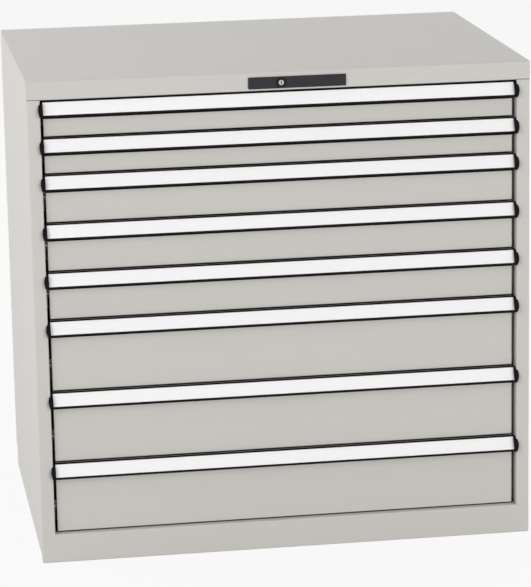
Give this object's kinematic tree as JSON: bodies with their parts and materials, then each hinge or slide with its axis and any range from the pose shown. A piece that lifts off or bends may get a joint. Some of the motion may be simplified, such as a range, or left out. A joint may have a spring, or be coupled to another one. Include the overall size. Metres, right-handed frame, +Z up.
{
  "type": "drawer cabinet",
  "caption": "Floor-standing steel workshop cabinet with full-width, full-extension drawers, sloping handle strips with label channels, and a central lock.",
  "frame": {"origin": "on the floor, under the middle of the cabinet with its handles", "axes": "+X to the right seen from the front, +Y to the rear, +Z up"},
  "size_m": [1.023, 0.7342, 1],
  "materials": {
    "light_grey_paint": "fine powder coat, satin",
    "galvanised": "zinc plated",
    "black_anodised": "extruded, black anodised",
    "white_label": "white strip under a clear cover",
    "black_plastic": "moulded, fine texture",
    "anthracite_plastic": "moulded, satin",
    "chrome": "polished"
  },
  "bodies": {
    "housing": {"side_wall_left": "light_grey_paint", "side_wall_right": "light_grey_paint", "back_wall": "light_grey_paint", "top_cover": "light_grey_paint", "base_frame": "light_grey_paint", "runner_posts": "galvanised", "cabinet_rails": "galvanised", "lock_plate": "anthracite_plastic", "lock_cylinder": "chrome", "lock_nut": "galvanised"},
    "drawer_1": {"drawer_1_tray": "light_grey_paint", "drawer_1_front": "light_grey_paint", "drawer_1_handle": "black_anodised", "drawer_1_label": "white_label", "drawer_1_end_caps": "black_plastic"},
    "carriage_1": {"drawer_1_carriages": "galvanised"},
    "drawer_2": {"drawer_2_tray": "light_grey_paint", "drawer_2_front": "light_grey_paint", "drawer_2_handle": "black_anodised", "drawer_2_label": "white_label", "drawer_2_end_caps": "black_plastic"},
    "carriage_2": {"drawer_2_carriages": "galvanised"},
    "drawer_3": {"drawer_3_tray": "light_grey_paint", "drawer_3_front": "light_grey_paint", "drawer_3_handle": "black_anodised", "drawer_3_label": "white_label", "drawer_3_end_caps": "black_plastic"},
    "carriage_3": {"drawer_3_carriages": "galvanised"},
    "drawer_4": {"drawer_4_tray": "light_grey_paint", "drawer_4_front": "light_grey_paint", "drawer_4_handle": "black_anodised", "drawer_4_label": "white_label", "drawer_4_end_caps": "black_plastic"},
    "carriage_4": {"drawer_4_carriages": "galvanised"},
    "drawer_5": {"drawer_5_tray": "light_grey_paint", "drawer_5_front": "light_grey_paint", "drawer_5_handle": "black_anodised", "drawer_5_label": "white_label", "drawer_5_end_caps": "black_plastic"},
    "carriage_5": {"drawer_5_carriages": "galvanised"},
    "drawer_6": {"drawer_6_tray": "light_grey_paint", "drawer_6_front": "light_grey_paint", "drawer_6_handle": "black_anodised", "drawer_6_label": "white_label", "drawer_6_end_caps": "black_plastic"},
    "carriage_6": {"drawer_6_carriages": "galvanised"},
    "drawer_7": {"drawer_7_tray": "light_grey_paint", "drawer_7_front": "light_grey_paint", "drawer_7_handle": "black_anodised", "drawer_7_label": "white_label", "drawer_7_end_caps": "black_plastic"},
    "carriage_7": {"drawer_7_carriages": "galvanised"},
    "drawer_8": {"drawer_8_tray": "light_grey_paint", "drawer_8_front": "light_grey_paint", "drawer_8_handle": "black_anodised", "drawer_8_label": "white_label", "drawer_8_end_caps": "black_plastic"},
    "carriage_8": {"drawer_8_carriages": "galvanised"},
    "lock_core": {"lock_core": "chrome"},
    "lock_bar": {"lock_bar": "galvanised"}
  },
  "joints": [
    {"name": "drawer_1_slide", "type": "slide", "parent": "housing", "child": "drawer_1", "axis": [0, -1, 0], "range_m": [0, 0.612]},
    {"name": "carriage_1_slide", "type": "slide", "parent": "housing", "child": "carriage_1", "axis": [0, -1, 0], "range_m": [0, 0.306]},
    {"name": "drawer_2_slide", "type": "slide", "parent": "housing", "child": "drawer_2", "axis": [0, -1, 0], "range_m": [0, 0.612]},
    {"name": "carriage_2_slide", "type": "slide", "parent": "housing", "child": "carriage_2", "axis": [0, -1, 0], "range_m": [0, 0.306]},
    {"name": "drawer_3_slide", "type": "slide", "parent": "housing", "child": "drawer_3", "axis": [0, -1, 0], "range_m": [0, 0.612]},
    {"name": "carriage_3_slide", "type": "slide", "parent": "housing", "child": "carriage_3", "axis": [0, -1, 0], "range_m": [0, 0.306]},
    {"name": "drawer_4_slide", "type": "slide", "parent": "housing", "child": "drawer_4", "axis": [0, -1, 0], "range_m": [0, 0.612]},
    {"name": "carriage_4_slide", "type": "slide", "parent": "housing", "child": "carriage_4", "axis": [0, -1, 0], "range_m": [0, 0.306]},
    {"name": "drawer_5_slide", "type": "slide", "parent": "housing", "child": "drawer_5", "axis": [0, -1, 0], "range_m": [0, 0.612]},
    {"name": "carriage_5_slide", "type": "slide", "parent": "housing", "child": "carriage_5", "axis": [0, -1, 0], "range_m": [0, 0.306]},
    {"name": "drawer_6_slide", "type": "slide", "parent": "housing", "child": "drawer_6", "axis": [0, -1, 0], "range_m": [0, 0.612]},
    {"name": "carriage_6_slide", "type": "slide", "parent": "housing", "child": "carriage_6", "axis": [0, -1, 0], "range_m": [0, 0.306]},
    {"name": "drawer_7_slide", "type": "slide", "parent": "housing", "child": "drawer_7", "axis": [0, -1, 0], "range_m": [0, 0.612]},
    {"name": "carriage_7_slide", "type": "slide", "parent": "housing", "child": "carriage_7", "axis": [0, -1, 0], "range_m": [0, 0.306]},
    {"name": "drawer_8_slide", "type": "slide", "parent": "housing", "child": "drawer_8", "axis": [0, -1, 0], "range_m": [0, 0.612]},
    {"name": "carriage_8_slide", "type": "slide", "parent": "housing", "child": "carriage_8", "axis": [0, -1, 0], "range_m": [0, 0.306]},
    {"name": "lock_bar_slide", "type": "slide", "parent": "housing", "child": "lock_bar", "axis": [0, 0, 1], "range_m": [0, 0.01]},
    {"name": "lock_core_turn", "type": "hinge", "parent": "housing", "child": "lock_core", "pos_m": [0, -0.3579, 0.9785], "axis": [0, 1, 0], "range_deg": [0, 90]}
  ],
  "couplings": [
    {"joint": "carriage_1_slide", "follows": "drawer_1_slide", "ratio": 0.5},
    {"joint": "carriage_2_slide", "follows": "drawer_2_slide", "ratio": 0.5},
    {"joint": "carriage_3_slide", "follows": "drawer_3_slide", "ratio": 0.5},
    {"joint": "carriage_4_slide", "follows": "drawer_4_slide", "ratio": 0.5},
    {"joint": "carriage_5_slide", "follows": "drawer_5_slide", "ratio": 0.5},
    {"joint": "carriage_6_slide", "follows": "drawer_6_slide", "ratio": 0.5},
    {"joint": "carriage_7_slide", "follows": "drawer_7_slide", "ratio": 0.5},
    {"joint": "carriage_8_slide", "follows": "drawer_8_slide", "ratio": 0.5},
    {"joint": "lock_core_turn", "follows": "lock_bar_slide", "rad_per_m": 157.07}
  ]
}
